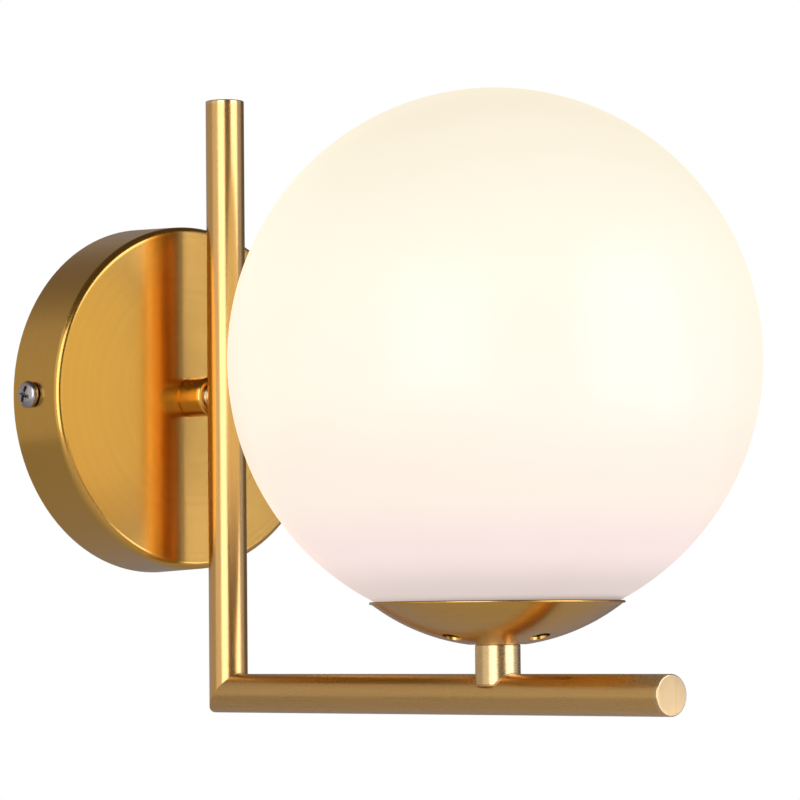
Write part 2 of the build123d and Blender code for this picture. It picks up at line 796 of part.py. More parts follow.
pieces = {
    "canopy": make_canopy(),
    "mounting_bracket": make_bracket(),
    "canopy_side_screws": make_side_screws(),
    "terminal_block": make_terminal_block(),
    "terminal_clamps": make_terminal_clamps(),
    "terminal_screws": make_terminal_screws(),
    "terminal_block_screw": make_block_screw(),
    "standoff": make_standoff(),
    "feed_nipple": make_feed_nipple(),
    "feed_nipple_nut": make_feed_nipple_nut(),
    "feed_nipple_washer": make_feed_nipple_washer(),
    "upright_tube": make_upright_tube(),
    "upright_end_cap": make_upright_end_cap(),
    "arm_tube": make_arm_tube(),
    "arm_end_cap": make_arm_end_cap(),
    "stem": make_stem(),
    "stem_nipple": make_stem_nipple(),
    "cup": make_cup(),
    "cup_washer": make_cup_washer(),
    "cup_nut": make_cup_nut(),
    "thread_spigot": make_thread_spigot(),
    "holder_bracket": make_holder_bracket(),
    "holder_nut": make_holder_nut(),
    "lamp_holder": make_lamp_holder(),
    "holder_contacts": make_holder_contacts(),
    "holder_screws": make_holder_screws(),
    "holder_nuts": make_holder_nuts(),
    "bulb_pins": make_bulb_pins(),
    "bulb_base": make_bulb_base(),
    "bulb_cover": make_bulb_cover(),
    "globe": make_globe(),
    "glass_collar": make_glass_collar(),
    "collar_bead": make_collar_bead(),
    "globe_gasket": make_globe_gasket(),
    "live_wire": phase_wire("live_wire", left_pole, -wire_side),
    "neutral_wire": phase_wire("neutral_wire", middle_pole, wire_side),
    "earth_wire": make_earth_wire(),
    "earth_lug": make_earth_lug(),
    "earth_screw": make_earth_screw(),
}

os.makedirs("parts", exist_ok=True)
for node, piece in pieces.items():
    shape = Compound(piece) if isinstance(piece, list) else piece
    export_step(shape, f"parts/{node}.step")
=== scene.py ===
from math import acos, cos, pi, radians, sin, sqrt

import bmesh
import bpy
from mathutils import Matrix, Vector


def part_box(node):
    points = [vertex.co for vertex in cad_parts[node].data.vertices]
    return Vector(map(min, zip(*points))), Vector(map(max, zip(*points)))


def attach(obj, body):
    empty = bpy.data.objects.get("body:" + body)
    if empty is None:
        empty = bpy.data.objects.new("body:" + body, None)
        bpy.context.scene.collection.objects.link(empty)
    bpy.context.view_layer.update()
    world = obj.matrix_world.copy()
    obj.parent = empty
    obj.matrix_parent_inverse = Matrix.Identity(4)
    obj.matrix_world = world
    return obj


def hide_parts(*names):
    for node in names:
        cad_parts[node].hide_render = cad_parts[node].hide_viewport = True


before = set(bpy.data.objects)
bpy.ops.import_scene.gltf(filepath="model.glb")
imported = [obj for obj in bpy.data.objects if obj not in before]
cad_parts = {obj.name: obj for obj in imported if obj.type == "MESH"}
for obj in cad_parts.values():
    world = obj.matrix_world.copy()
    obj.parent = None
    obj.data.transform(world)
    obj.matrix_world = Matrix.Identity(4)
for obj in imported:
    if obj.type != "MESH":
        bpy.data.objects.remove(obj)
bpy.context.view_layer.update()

# Lengths are metres. Z is up and the sconce stands out from the wall along -Y.

MM = 0.001

# --- sizes ---------------------------------------------------------------------------------------

GLOBE_AXIS = Vector((0, -152.2 * MM, 0))
GLOBE_CENTRE_HEIGHT = 4.5 * MM
GLOBE_HALF_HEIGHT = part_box("globe")[1][2] - GLOBE_CENTRE_HEIGHT
GLOBE_WALL = 2.6 * MM
MOUTH_RADIUS = 24.0 * MM

TUBE_RADIUS = 5.7 * MM
UPRIGHT_PLACE = Vector((0, -35.8 * MM, 0))
ARM_HEIGHT = -88.2 * MM
STEM_RADIUS = 6.3 * MM
STEM_WALL = 1.0 * MM
FOOT_OVER_ARM_MIDDLE = 2.6 * MM

NIPPLE_RADIUS = 3.95 * MM
NIPPLE_BORE = 3.0 * MM
NIPPLE_PITCH = 1.0 * MM

# flats round a turned shape
NIPPLE_STEPS = 40
HEAD_STEPS = 48
TUBE_STEPS = 96
COLLAR_STEPS = 120
GLOBE_STEPS = 160

SIDE_SCREW_OUT = 8.1 * MM
SIDE_SCREW_LENGTH = 8.0 * MM
SIDE_SCREW_TWIST = radians(22)
M4_HEAD_RADIUS = 4.0 * MM
M4_HEAD_HEIGHT = 2.6 * MM
M4_RADIUS = 1.95 * MM
M4_PITCH = 0.7 * MM
M3_HEAD_RADIUS = 2.5 * MM
M3_HEAD_HEIGHT = 2.0 * MM
M3_RADIUS = 1.45 * MM
M3_PITCH = 0.5 * MM
EARTH_HEAD_RADIUS = 3.5 * MM
STEPS_A_THREAD_TURN = 6

COLLAR_WALL = 1.45 * MM
FIXING_PITCH = 2.6 * MM

# --- camera --------------------------------------------------------------------------------------

CAMERA_AZIMUTH = radians(-41.957)
CAMERA_RISE = radians(-3.085)
CAMERA_ROLL = radians(-0.510)
CAMERA_PLACE = Vector((-0.83875, -1.04565, -0.07253))
# millimetres
SENSOR_WIDTH = 36.0
LENS = 199.21


def outward(azimuth, rise):
    """The direction from the sconce at these angles; azimuth 0 is straight out of the wall."""
    return Vector((sin(azimuth) * cos(rise), -cos(azimuth) * cos(rise), sin(rise)))


def make_camera():
    """The photograph's viewpoint: from the left, a little below the globe's middle."""
    data = bpy.data.cameras.new("camera")
    data.sensor_width = SENSOR_WIDTH
    data.lens = LENS
    data.clip_start = 0.05
    camera = bpy.data.objects.new("camera", data)
    bpy.context.scene.collection.objects.link(camera)
    back = outward(CAMERA_AZIMUTH, CAMERA_RISE)
    side = (-back).cross(Vector((0, 0, 1))).normalized()
    up = side.cross(-back)
    rolled_side = cos(CAMERA_ROLL) * side + sin(CAMERA_ROLL) * up
    rolled_up = cos(CAMERA_ROLL) * up - sin(CAMERA_ROLL) * side
    camera.matrix_world = Matrix((
        (rolled_side.x, rolled_up.x, back.x, CAMERA_PLACE.x),
        (rolled_side.y, rolled_up.y, back.y, CAMERA_PLACE.y),
        (rolled_side.z, rolled_up.z, back.z, CAMERA_PLACE.z),
        (0, 0, 0, 1),
    ))
    bpy.context.scene.camera = camera


# --- shader helpers ------------------------------------------------------------------------------


def add(tree, kind, inputs=None, **settings):
    """A shader node; each input is given a value or another node's output."""
    made = tree.nodes.new("ShaderNode" + kind)
    for setting, value in settings.items():
        setattr(made, setting, value)
    for socket, value in (inputs or {}).items():
        if isinstance(value, bpy.types.NodeSocket):
            tree.links.new(value, made.inputs[socket])
        else:
            made.inputs[socket].default_value = value
    return made


def calc(tree, operation, first, second=0.0):
    """One sum with one or two values, each a number or a node's output."""
    return add(tree, "Math", {0: first, 1: second}, operation=operation).outputs[0]


def spread(tree, value, low, high, start=0.0, end=1.0):
    """Takes a value between start and end to a value between low and high."""
    inputs = {"Value": value, "From Min": start, "From Max": end, "To Min": low, "To Max": high}
    return add(tree, "MapRange", inputs).outputs["Result"]


def mix_colour(tree, share, first, second):
    """The first colour at share 0, the second at share 1."""
    made = add(tree, "Mix", {"Factor": share}, data_type="RGBA")
    for socket, colour in ((made.inputs[6], first), (made.inputs[7], second)):
        if isinstance(colour, bpy.types.NodeSocket):
            tree.links.new(colour, socket)
        else:
            socket.default_value = (*colour, 1)
    return made.outputs[2]


def noise(tree, vector, scale, detail=2.0):
    """Soft random patches; scale is how many there are to one unit of the vector."""
    return add(tree, "TexNoise", {"Vector": vector, "Scale": scale, "Detail": detail}).outputs["Fac"]


def new_group(name, inputs, outputs):
    """An empty node group with these named sockets, and its two ends."""
    group = bpy.data.node_groups.new(name, "ShaderNodeTree")
    for socket, kind in inputs:
        group.interface.new_socket(socket, in_out="INPUT", socket_type=kind)
    for socket in outputs:
        group.interface.new_socket(socket, in_out="OUTPUT", socket_type="NodeSocketFloat")
    return group, group.nodes.new("NodeGroupInput"), group.nodes.new("NodeGroupOutput")


def tool_lines_group(name, laid, tone_scale):
    """Fine lines left by a tool, and a slower change of tone; laid says which way they run."""
    inputs = [("Vector", "NodeSocketVector"), ("Lines", "NodeSocketFloat")]
    group, start, end = new_group(name, inputs, ["Height", "Tone"])
    vector = laid(group, start.outputs["Vector"])
    lines = {0: vector, "Scale": start.outputs["Lines"]}
    scaled = add(group, "VectorMath", lines, operation="SCALE").outputs[0]
    group.links.new(noise(group, scaled, 1.0, 3.0), end.inputs["Height"])
    group.links.new(noise(group, scaled, tone_scale), end.inputs["Tone"])
    return group


def rings_round_z(group, vector):
    """Radius and height, for rings left by a lathe or a spinning tool."""
    apart = add(group, "SeparateXYZ", {"Vector": vector})
    flat = add(group, "CombineXYZ", {"X": apart.outputs["X"], "Y": apart.outputs["Y"]})
    radius = add(group, "VectorMath", {0: flat.outputs[0]}, operation="LENGTH").outputs["Value"]
    return add(group, "CombineXYZ", {"X": radius, "Y": apart.outputs["Z"]}).outputs[0]


def scratches_along_z(group, vector):
    """Z drawn out fifty times, for straight scratches."""
    return add(group, "VectorMath", {0: vector, 1: (1, 1, 0.02)}, operation="MULTIPLY").outputs[0]


SMUDGES = 45.0
DUST_SPECKS = 900.0
DUST_COLOUR = (0.55, 0.52, 0.48)


def handling_group():
    """Smudges from handling, and a little dust where a surface faces up."""
    inputs = [("Vector", "NodeSocketVector")]
    group, start, end = new_group("handling", inputs, ["Smudge", "Dust"])
    vector = start.outputs["Vector"]
    smudge = spread(group, noise(group, vector, SMUDGES, 4.0), 0.0, 1.0, 0.42, 0.72)
    group.links.new(smudge, end.inputs["Smudge"])
    normal = add(group, "NewGeometry").outputs["Normal"]
    upward = spread(group, add(group, "SeparateXYZ", {"Vector": normal}).outputs["Z"], 0.0, 1.0, 0.4, 1.0)
    specks = spread(group, noise(group, vector, DUST_SPECKS, 3.0), 0.0, 1.0, 0.5, 0.75)
    group.links.new(calc(group, "MULTIPLY", upward, specks), end.inputs["Dust"])
    return group


TURNED = tool_lines_group("turned_lines", rings_round_z, 0.13)
BRUSHED = tool_lines_group("brushed_lines", scratches_along_z, 0.2)
HANDLING = handling_group()


def new_material(name, metallic=0.0):
    """A material, its node tree and its shader."""
    material = bpy.data.materials.new(name)
    material.use_nodes = True
    tree = material.node_tree
    shader = tree.nodes["Principled BSDF"]
    shader.inputs["Metallic"].default_value = metallic
    return material, tree, shader


def own_place(tree, move=(0, 0, 0), turn=(0, 0, 0)):
    """Object coordinates, moved and turned so that a pattern's own axis is Z."""
    place = add(tree, "TexCoord").outputs["Object"]
    mapping = add(tree, "Mapping", {"Vector": place, "Location": move, "Rotation": turn})
    return place, mapping.outputs["Vector"]


def use_group(tree, group, **inputs):
    """Places a node group; each input is given a value or another node's output."""
    return add(tree, "Group", inputs, node_tree=group).outputs


def relief(tree, shader, height, depth):
    """Fine unevenness that is too small to model; depth is in metres."""
    bump = add(tree, "Bump", {"Height": height, "Distance": depth, "Strength": 1.0})
    tree.links.new(bump.outputs["Normal"], shader.inputs["Normal"])


def metal(name, colours, grain, lines, depth, rough, move=(0, 0, 0), turn=(0, 0, 0), coat=0.0):
    """A metal with tool lines, a little uneven tone, smudges and dust; colours are (light, deep)."""
    material, tree, shader = new_material(name, metallic=1.0)
    place, vector = own_place(tree, move, turn)
    worked = use_group(tree, grain, Vector=vector, Lines=lines)
    handled = use_group(tree, HANDLING, Vector=place)
    tone = spread(tree, worked["Tone"], 0.0, 1.0, 0.3, 0.7)
    base = mix_colour(tree, tone, *colours)
    dull = mix_colour(tree, calc(tree, "MULTIPLY", handled["Dust"], 0.10), base, DUST_COLOUR)
    tree.links.new(dull, shader.inputs["Base Color"])
    lined = spread(tree, worked["Height"], rough - 0.02, rough + 0.03, 0.3, 0.7)
    smudged = calc(tree, "ADD", lined, calc(tree, "MULTIPLY", handled["Smudge"], 0.04))
    dusty = calc(tree, "ADD", smudged, calc(tree, "MULTIPLY", handled["Dust"], 0.12))
    tree.links.new(dusty, shader.inputs["Roughness"])
    shader.inputs["Coat Weight"].default_value = coat
    shader.inputs["Coat Roughness"].default_value = LACQUER_ROUGHNESS
    relief(tree, shader, worked["Height"], depth)
    return material


# --- metals --------------------------------------------------------------------------------------

# each metal has a light and a deep tone
SPUN_BRASS = ((0.77, 0.435, 0.08), (0.745, 0.415, 0.074))
DRAWN_BRASS = ((0.78, 0.475, 0.15), (0.74, 0.44, 0.135))
FACED_BRASS = ((0.80, 0.56, 0.24), (0.77, 0.53, 0.22))
STEEL = ((0.50, 0.475, 0.455), (0.42, 0.40, 0.385))
ZINC = ((0.62, 0.64, 0.66), (0.50, 0.52, 0.55))
YELLOW_BRASS = ((0.80, 0.62, 0.27), (0.70, 0.52, 0.20))
YELLOW_ZINC = ((0.74, 0.56, 0.26), (0.64, 0.48, 0.22))
NICKEL = ((0.66, 0.63, 0.57), (0.56, 0.53, 0.48))
ALUMINIUM = ((0.56, 0.56, 0.57), (0.46, 0.46, 0.47))

ALONG_Y = (radians(90), 0, 0)
ALONG_X = (0, radians(90), 0)
TO_GLOBE_AXIS = tuple(-GLOBE_AXIS)
# tool lines to a metre
TURNING_LINES = 4200.0
BRUSHING_LINES = 5200.0
LINE_DEPTH = 0.0007 * MM
LACQUER = 0.40
LACQUER_ROUGHNESS = 0.14


def brass(name, tones, grain, lines, rough, move=(0, 0, 0), turn=(0, 0, 0)):
    """Lacquered brass of the frame."""
    return metal(name, tones, grain, lines, LINE_DEPTH, rough, move, turn, LACQUER)


def spangled_zinc():
    """Zinc-plated sheet with faint crystals of two greys."""
    material, tree, shader = new_material("zinc_sheet", metallic=1.0)
    place, vector = own_place(tree)
    crystals = add(tree, "TexVoronoi", {"Vector": vector, "Scale": 420.0})
    share = add(tree, "SeparateColor", {"Color": crystals.outputs["Color"]}).outputs["Red"]
    handled = use_group(tree, HANDLING, Vector=place)
    tree.links.new(mix_colour(tree, share, *ZINC), shader.inputs["Base Color"])
    facets = spread(tree, share, 0.30, 0.42)
    rough = calc(tree, "ADD", facets, calc(tree, "MULTIPLY", handled["Smudge"], 0.08))
    tree.links.new(rough, shader.inputs["Roughness"])
    relief(tree, shader, noise(tree, vector, 2500.0), 0.01 * MM)
    return material


# --- plastics, ceramic, glass --------------------------------------------------------------------


def moulded(name, colour, shade, roughness, scale=350.0, depth=0.01 * MM):
    """A moulded or fired body: two near tones, uneven gloss and a fine skin."""
    material, tree, shader = new_material(name)
    place, vector = own_place(tree)
    handled = use_group(tree, HANDLING, Vector=place)
    cloudy = spread(tree, noise(tree, vector, scale, 5.0), 0.0, 1.0, 0.35, 0.68)
    tree.links.new(mix_colour(tree, cloudy, colour, shade), shader.inputs["Base Color"])
    rough = spread(tree, noise(tree, vector, 4 * scale), roughness - 0.07, roughness + 0.07, 0.3, 0.7)
    dusty = calc(tree, "ADD", rough, calc(tree, "MULTIPLY", handled["Dust"], 0.15))
    tree.links.new(dusty, shader.inputs["Roughness"])
    relief(tree, shader, noise(tree, vector, 6 * scale), depth)
    return material


def fired_ceramic():
    """Unglazed steatite: off-white with sparse darker specks and a dry, fine-grained face."""
    material = moulded("holder_ceramic", (0.80, 0.77, 0.70), (0.74, 0.70, 0.62), 0.55, 500.0, 0.03 * MM)
    tree = material.node_tree
    shader = tree.nodes["Principled BSDF"]
    base = shader.inputs["Base Color"].links[0].from_socket
    vector = own_place(tree)[0]
    speck = add(tree, "TexVoronoi", {"Vector": vector, "Scale": 900.0}).outputs["Distance"]
    dark = spread(tree, speck, 0.7, 0.0, 0.05, 0.13)
    tree.links.new(mix_colour(tree, dark, base, (0.35, 0.30, 0.24)), shader.inputs["Base Color"])
    return material


# painted glow: the colour the glass gives off at these heights above the globe's centre, standing in for
# light from a bulb inside it; the near-black lowest stops are painted shade inside the cup
PAINTED_GLASS_GLOW = (
    (-GLOBE_HALF_HEIGHT, (0.05, 0.04, 0.035)),
    (-69.5 * MM, (0.08, 0.065, 0.06)),
    (-65.5 * MM, (0.60, 0.50, 0.46)),
    (-54.0 * MM, (0.80, 0.65, 0.61)),
    (-38.0 * MM, (0.84, 0.73, 0.61)),
    (-8.0 * MM, (0.85, 0.79, 0.64)),
    (20.0 * MM, (0.87, 0.81, 0.64)),
    (GLOBE_HALF_HEIGHT, (0.84, 0.76, 0.58)),
)
GLOW_WAVER = 1.5 * MM


def painted_glow_strength(tree, height):
    """Strength of the painted glow: full to the camera; metal shows the lower part dimmed, and
    twice-mirrored glass dimmer still.
    """
    path = add(tree, "LightPath").outputs
    in_metal = spread(tree, height, 0.15, 1.0, -64 * MM, -26 * MM)
    first_bounce = spread(tree, path["Ray Depth"], 1.0, 0.3, 1.0, 2.0)
    mirrored = calc(tree, "MULTIPLY", in_metal, first_bounce)
    return calc(tree, "MAXIMUM", path["Is Camera Ray"], mirrored)


def opal_glass():
    """White glass with a painted glow in place of light from the bulb inside: warm and even above, with
    painted shade greyer where the cup and holder shade it.
    """
    material, tree, shader = new_material("opal_glass")
    place, vector = own_place(tree, (0, -GLOBE_AXIS.y, -GLOBE_CENTRE_HEIGHT))
    height = add(tree, "SeparateXYZ", {"Vector": vector}).outputs["Z"]
    wavy = spread(tree, noise(tree, vector, 14.0, 1.0), -GLOW_WAVER, GLOW_WAVER)
    level = calc(tree, "ADD", height, wavy)
    share = spread(tree, level, 0.0, 1.0, -GLOBE_HALF_HEIGHT, GLOBE_HALF_HEIGHT)
    ramp = add(tree, "ValToRGB", {"Fac": share})
    ramp.color_ramp.interpolation = "EASE"
    stops = ramp.color_ramp.elements
    for number, (stop_height, colour) in enumerate(PAINTED_GLASS_GLOW):
        where = (stop_height + GLOBE_HALF_HEIGHT) / (2 * GLOBE_HALF_HEIGHT)
        stop = stops[number] if number < 2 else stops.new(where)
        stop.position = where
        stop.color = (*colour, 1)
    # the glass's glow is painted light and its dark bottom is painted shade, not light from the bulb
    tree.links.new(ramp.outputs["Color"], shader.inputs["Emission Color"])
    tree.links.new(painted_glow_strength(tree, height), shader.inputs["Emission Strength"])
    milk = mix_colour(tree, noise(tree, vector, 60.0, 3.0), (0.17, 0.165, 0.155), (0.20, 0.19, 0.18))
    tree.links.new(milk, shader.inputs["Base Color"])
    handled = use_group(tree, HANDLING, Vector=place)
    tree.links.new(spread(tree, handled["Smudge"], 0.28, 0.36), shader.inputs["Roughness"])
    shader.inputs["Specular IOR Level"].default_value = 0.35
    relief(tree, shader, noise(tree, vector, 35.0, 1.0), 0.15 * MM)
    return material


def lit_cover():
    """The bulb's frosted cover, brighter in its middle than at its neck."""
    material, tree, shader = new_material("bulb_diffuser")
    vector = own_place(tree)[0]
    height = add(tree, "SeparateXYZ", {"Vector": vector}).outputs["Z"]
    share = spread(tree, height, 0.0, 1.0, -25 * MM, -10 * MM)
    glow = mix_colour(tree, share, (0.85, 0.55, 0.28), (1.0, 0.85, 0.58))
    tree.links.new(glow, shader.inputs["Emission Color"])
    shader.inputs["Emission Strength"].default_value = 0.42
    frost = spread(tree, noise(tree, vector, 2500.0), 0.45, 0.6)
    tree.links.new(frost, shader.inputs["Roughness"])
    plastic = mix_colour(tree, frost, (0.46, 0.45, 0.43), (0.40, 0.39, 0.37))
    tree.links.new(plastic, shader.inputs["Base Color"])
    return material


# the wires are bare above this height at the terminal block, and above this one at the holder
CLAMP_END = 21.0 * MM
HOLDER_END = -53.4 * MM
COPPER = (0.80, 0.42, 0.26)
# the earth wire's stripe follows the wire's slope: how far X moves for each step up, and from where
STRIPE_SLOPE = -0.46
STRIPE_START = 16.45 * MM


def sleeve(name, colour, shade, stripe=None):
    """PVC-covered wire whose bare ends are copper; the earth wire also has a stripe."""
    material, tree, shader = new_material(name)
    place = own_place(tree)[0]
    apart = add(tree, "SeparateXYZ", {"Vector": place})
    at_block = calc(tree, "GREATER_THAN", apart.outputs["Z"], CLAMP_END)
    outside = calc(tree, "LESS_THAN", apart.outputs["Y"], GLOBE_AXIS.y / 2)
    at_holder = calc(tree, "MULTIPLY", outside, calc(tree, "GREATER_THAN", apart.outputs["Z"], HOLDER_END))
    bare = calc(tree, "MAXIMUM", at_block, at_holder)
    skin = mix_colour(tree, spread(tree, noise(tree, place, 700.0), 0.0, 1.0, 0.3, 0.7), colour, shade)
    if stripe:
        across = calc(tree, "MULTIPLY", apart.outputs["Z"], STRIPE_SLOPE)
        middle = calc(tree, "ADD", across, STRIPE_START)
        side = calc(tree, "GREATER_THAN", apart.outputs["X"], middle)
        skin = mix_colour(tree, side, skin, stripe)
    tree.links.new(mix_colour(tree, bare, skin, COPPER), shader.inputs["Base Color"])
    tree.links.new(bare, shader.inputs["Metallic"])
    rough = spread(tree, noise(tree, place, 1500.0), 0.30, 0.46, 0.3, 0.7)
    tree.links.new(rough, shader.inputs["Roughness"])
    relief(tree, shader, noise(tree, place, 3000.0), 0.01 * MM)
    return material


# --- lights, room and floor ----------------------------------------------------------------------

FLOOR_HEIGHT = -0.32
FLOOR_RADIUS = 1.15
FLOOR_STEPS = 96
LIT_POINT = Vector((0, -0.1, 0))
LAMP_DISTANCE = 1.3
COOL_WHITE = (0.97, 0.99, 1.25)
SOFTBOXES = (
    # name, azimuth and rise in degrees, width and height, radiance, colour
    ("left_softbox", -65, 6, (0.96, 1.5), 2.2, COOL_WHITE),
    ("left_fill", -106, 6, (0.84, 1.5), 0.42, (0.97, 0.97, 1.10)),
    ("right_softbox", 17, 6, (1.0, 1.5), 2.5, COOL_WHITE),
    ("right_fill", 56, 6, (0.86, 1.5), 0.36, (0.85, 0.97, 1.6)),
    ("low_card", 41, -13, (0.36, 0.34), 1.3, COOL_WHITE),
)

BEHIND_LEFT = (-0.62, 0.78, -0.1)
DIM_WALL = (0.14, 0.12, 0.10)
LIGHT_WALL = (0.46, 0.43, 0.43)
CEILING = (0.07, 0.055, 0.04)
PAPER_WHITE = (1, 1, 1, 1)


def make_softbox(name, azimuth, rise, size, radiance, colour):
    """A rectangular lamp that faces the sconce; radiance is how bright its face looks."""
    away = outward(radians(azimuth), radians(rise))
    data = bpy.data.lights.new(name, "AREA")
    data.shape = "RECTANGLE"
    data.size, data.size_y = size
    data.energy = radiance * pi * size[0] * size[1]
    data.color = colour
    light = bpy.data.objects.new(name, data)
    bpy.context.scene.collection.objects.link(light)
    light.visible_camera = False
    turn = away.to_track_quat("Z", "Y").to_matrix().to_4x4()
    light.matrix_world = Matrix.Translation(LIT_POINT + away * LAMP_DISTANCE) @ turn


def make_room():
    """Plain white behind the object; reflections see a dim room, lighter behind to the left."""
    world = bpy.data.worlds.new("studio")
    bpy.context.scene.world = world
    world.use_nodes = True
    tree = world.node_tree
    tree.nodes.clear()
    direction = add(tree, "TexCoord").outputs["Generated"]
    compared = {0: direction, 1: BEHIND_LEFT}
    toward = add(tree, "VectorMath", compared, operation="DOT_PRODUCT").outputs["Value"]
    walls = mix_colour(tree, spread(tree, toward, 0.0, 1.0, -0.25, 0.95), DIM_WALL, LIGHT_WALL)
    rise = add(tree, "SeparateXYZ", {"Vector": direction}).outputs["Z"]
    room_colour = mix_colour(tree, spread(tree, rise, 0.0, 0.92, 0.50, 0.76), walls, CEILING)
    room = add(tree, "Background", {"Color": room_colour, "Strength": 1.0})
    paper = add(tree, "Background", {"Color": PAPER_WHITE, "Strength": 1.0})
    seen = add(tree, "LightPath").outputs["Is Camera Ray"]
    both = add(tree, "MixShader", {"Fac": seen, 1: room.outputs[0], 2: paper.outputs[0]})
    add(tree, "OutputWorld", {"Surface": both.outputs[0]})
    bpy.context.scene.view_settings.view_transform = "Standard"


def pale_paper():
    """The floor's matt paper; the camera sees it lifted nearly to the white behind."""
    material = moulded("pale_floor", (0.80, 0.79, 0.76), (0.77, 0.76, 0.73), 0.7, 3.0, 0.1 * MM)
    tree = material.node_tree
    shader = tree.nodes["Principled BSDF"]
    shader.inputs["Emission Color"].default_value = (1.0, 0.98, 0.95, 1)
    seen = add(tree, "LightPath").outputs["Is Camera Ray"]
    tree.links.new(spread(tree, seen, 0.05, 0.50), shader.inputs["Emission Strength"])
    return material


def make_floor():
    """A plain round floor, well below the sconce."""
    bm = bmesh.new()
    bmesh.ops.create_circle(bm, cap_ends=True, segments=FLOOR_STEPS, radius=FLOOR_RADIUS)
    bmesh.ops.translate(bm, verts=bm.verts, vec=(0, LIT_POINT.y, FLOOR_HEIGHT))
    mesh = bpy.data.meshes.new("floor")
    bm.to_mesh(mesh)
    bm.free()
    floor = bpy.data.objects.new("floor", mesh)
    bpy.context.scene.collection.objects.link(floor)
    mesh.materials.append(pale_paper())


# --- making pieces -------------------------------------------------------------------------------

SHARP = radians(35)


def piece(name, bm, material, body, slot_name, *nodes):
    """A finished piece: it rides on its body and stands for the CAD nodes named."""
    mesh = bpy.data.meshes.new(name)
    bm.to_mesh(mesh)
    bm.free()
    mesh.shade_smooth()
    mesh.set_sharp_from_angle(angle=SHARP)
    mesh.materials.append(material)
    made = bpy.data.objects.new(name, mesh)
    bpy.context.scene.collection.objects.link(made)
    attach(made, body)
    if nodes:
        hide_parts(*nodes)


def turned(profile, steps, closed=True):
    """A shape turned round the Z axis from (radius, height) points."""
    bm = bmesh.new()
    verts = [bm.verts.new((radius, 0, height)) for radius, height in profile]
    edges = [bm.edges.new(pair) for pair in zip(verts, verts[1:])]
    if closed:
        edges.append(bm.edges.new((verts[-1], verts[0])))
    bmesh.ops.spin(
        bm, geom=verts + edges, cent=(0, 0, 0), axis=(0, 0, 1), dvec=(0, 0, 0),
        angle=2 * pi, steps=steps, use_merge=True,
    )
    bmesh.ops.remove_doubles(bm, verts=bm.verts, dist=1e-7)
    bmesh.ops.recalc_face_normals(bm, faces=bm.faces)
    return bm


def arc(centre, radius, start, end, steps):
    """Points along an arc in (radius, height), with angles in degrees from the outward direction."""
    angles = [radians(start + (end - start) * step / steps) for step in range(steps + 1)]
    return [(centre[0] + radius * cos(angle), centre[1] + radius * sin(angle)) for angle in angles]


def oval(radius, half_height, start, end, steps):
    """Points along an upright oval in (radius, height), from one angle to another."""
    angles = [start + (end - start) * step / steps for step in range(steps + 1)]
    return [(radius * cos(angle), half_height * sin(angle)) for angle in angles]


def run(start, end, steps):
    """Evenly spaced points on a line, both ends included."""
    return [
        (start[0] + (end[0] - start[0]) * step / steps, start[1] + (end[1] - start[1]) * step / steps)
        for step in range(steps + 1)
    ]


def cut_thread(bm, radius, depth, pitch, low, high):
    """Moves the wall at this radius in and out along a helix; a positive depth cuts inwards."""
    for vert in bm.verts:
        distance = sqrt(vert.co.x**2 + vert.co.y**2)
        if abs(distance - radius) > abs(depth) / 50 or not low < vert.co.z < high:
            continue
        turn = vert.co.z / pitch - Vector((vert.co.x, vert.co.y)).angle_signed(Vector((1, 0))) / (2 * pi)
        flank = abs(2 * (turn % 1.0) - 1)
        fade = min(1.0, (vert.co.z - low) / pitch, (high - vert.co.z) / pitch)
        share = (distance - depth * fade * min(1.0, 1.25 * flank)) / distance
        vert.co.x *= share
        vert.co.y *= share


def facing(place, direction):
    """Matrix that takes a shape made on the Z axis to this place, facing this way."""
    turn = Vector(direction).to_track_quat("Z", "Y").to_matrix().to_4x4()
    return Matrix.Translation(place) @ turn


def on_globe_axis(height=0.0):
    """Matrix that takes a shape made on the Z axis to the globe's axis, this much higher."""
    return Matrix.Translation((0, GLOBE_AXIS.y, height))


def placed(bm, matrix):
    """A shape, moved by this matrix."""
    bmesh.ops.transform(bm, matrix=matrix, verts=bm.verts)
    return bm


def joined(shapes):
    """Several placed shapes in one mesh."""
    whole = bmesh.new()
    for bm in shapes:
        part = bpy.data.meshes.new("part")
        bm.to_mesh(part)
        bm.free()
        whole.from_mesh(part)
        bpy.data.meshes.remove(part)
    return whole


# --- screws and nipples --------------------------------------------------------------------------


def press_cross(bm, length, width, depth, top):
    """Presses a tapered cross recess into the crown of a screw head."""
    for across in ((1, 0, 0), (0, 1, 0)):
        for offset in (-length, -width, width, length):
            place = Vector(across) * offset
            geom = bm.verts[:] + bm.edges[:] + bm.faces[:]
            bmesh.ops.bisect_plane(bm, geom=geom, plane_co=place, plane_no=across, dist=1e-8)
    inside = []
    for face in bm.faces:
        centre = face.calc_center_median()
        x, y = abs(centre.x), abs(centre.y)
        if centre.z > top and min(x, y) < width and max(x, y) < length and face.normal.z > 0.3:
            inside.append(face)
    made = bmesh.ops.extrude_face_region(bm, geom=inside)
    bmesh.ops.delete(bm, geom=inside, context="FACES")
    floor = [item for item in made["geom"] if isinstance(item, bmesh.types.BMVert)]
    bmesh.ops.translate(bm, verts=floor, vec=(0, 0, -depth))
    bmesh.ops.scale(bm, verts=floor, vec=(0.62, 0.62, 1))


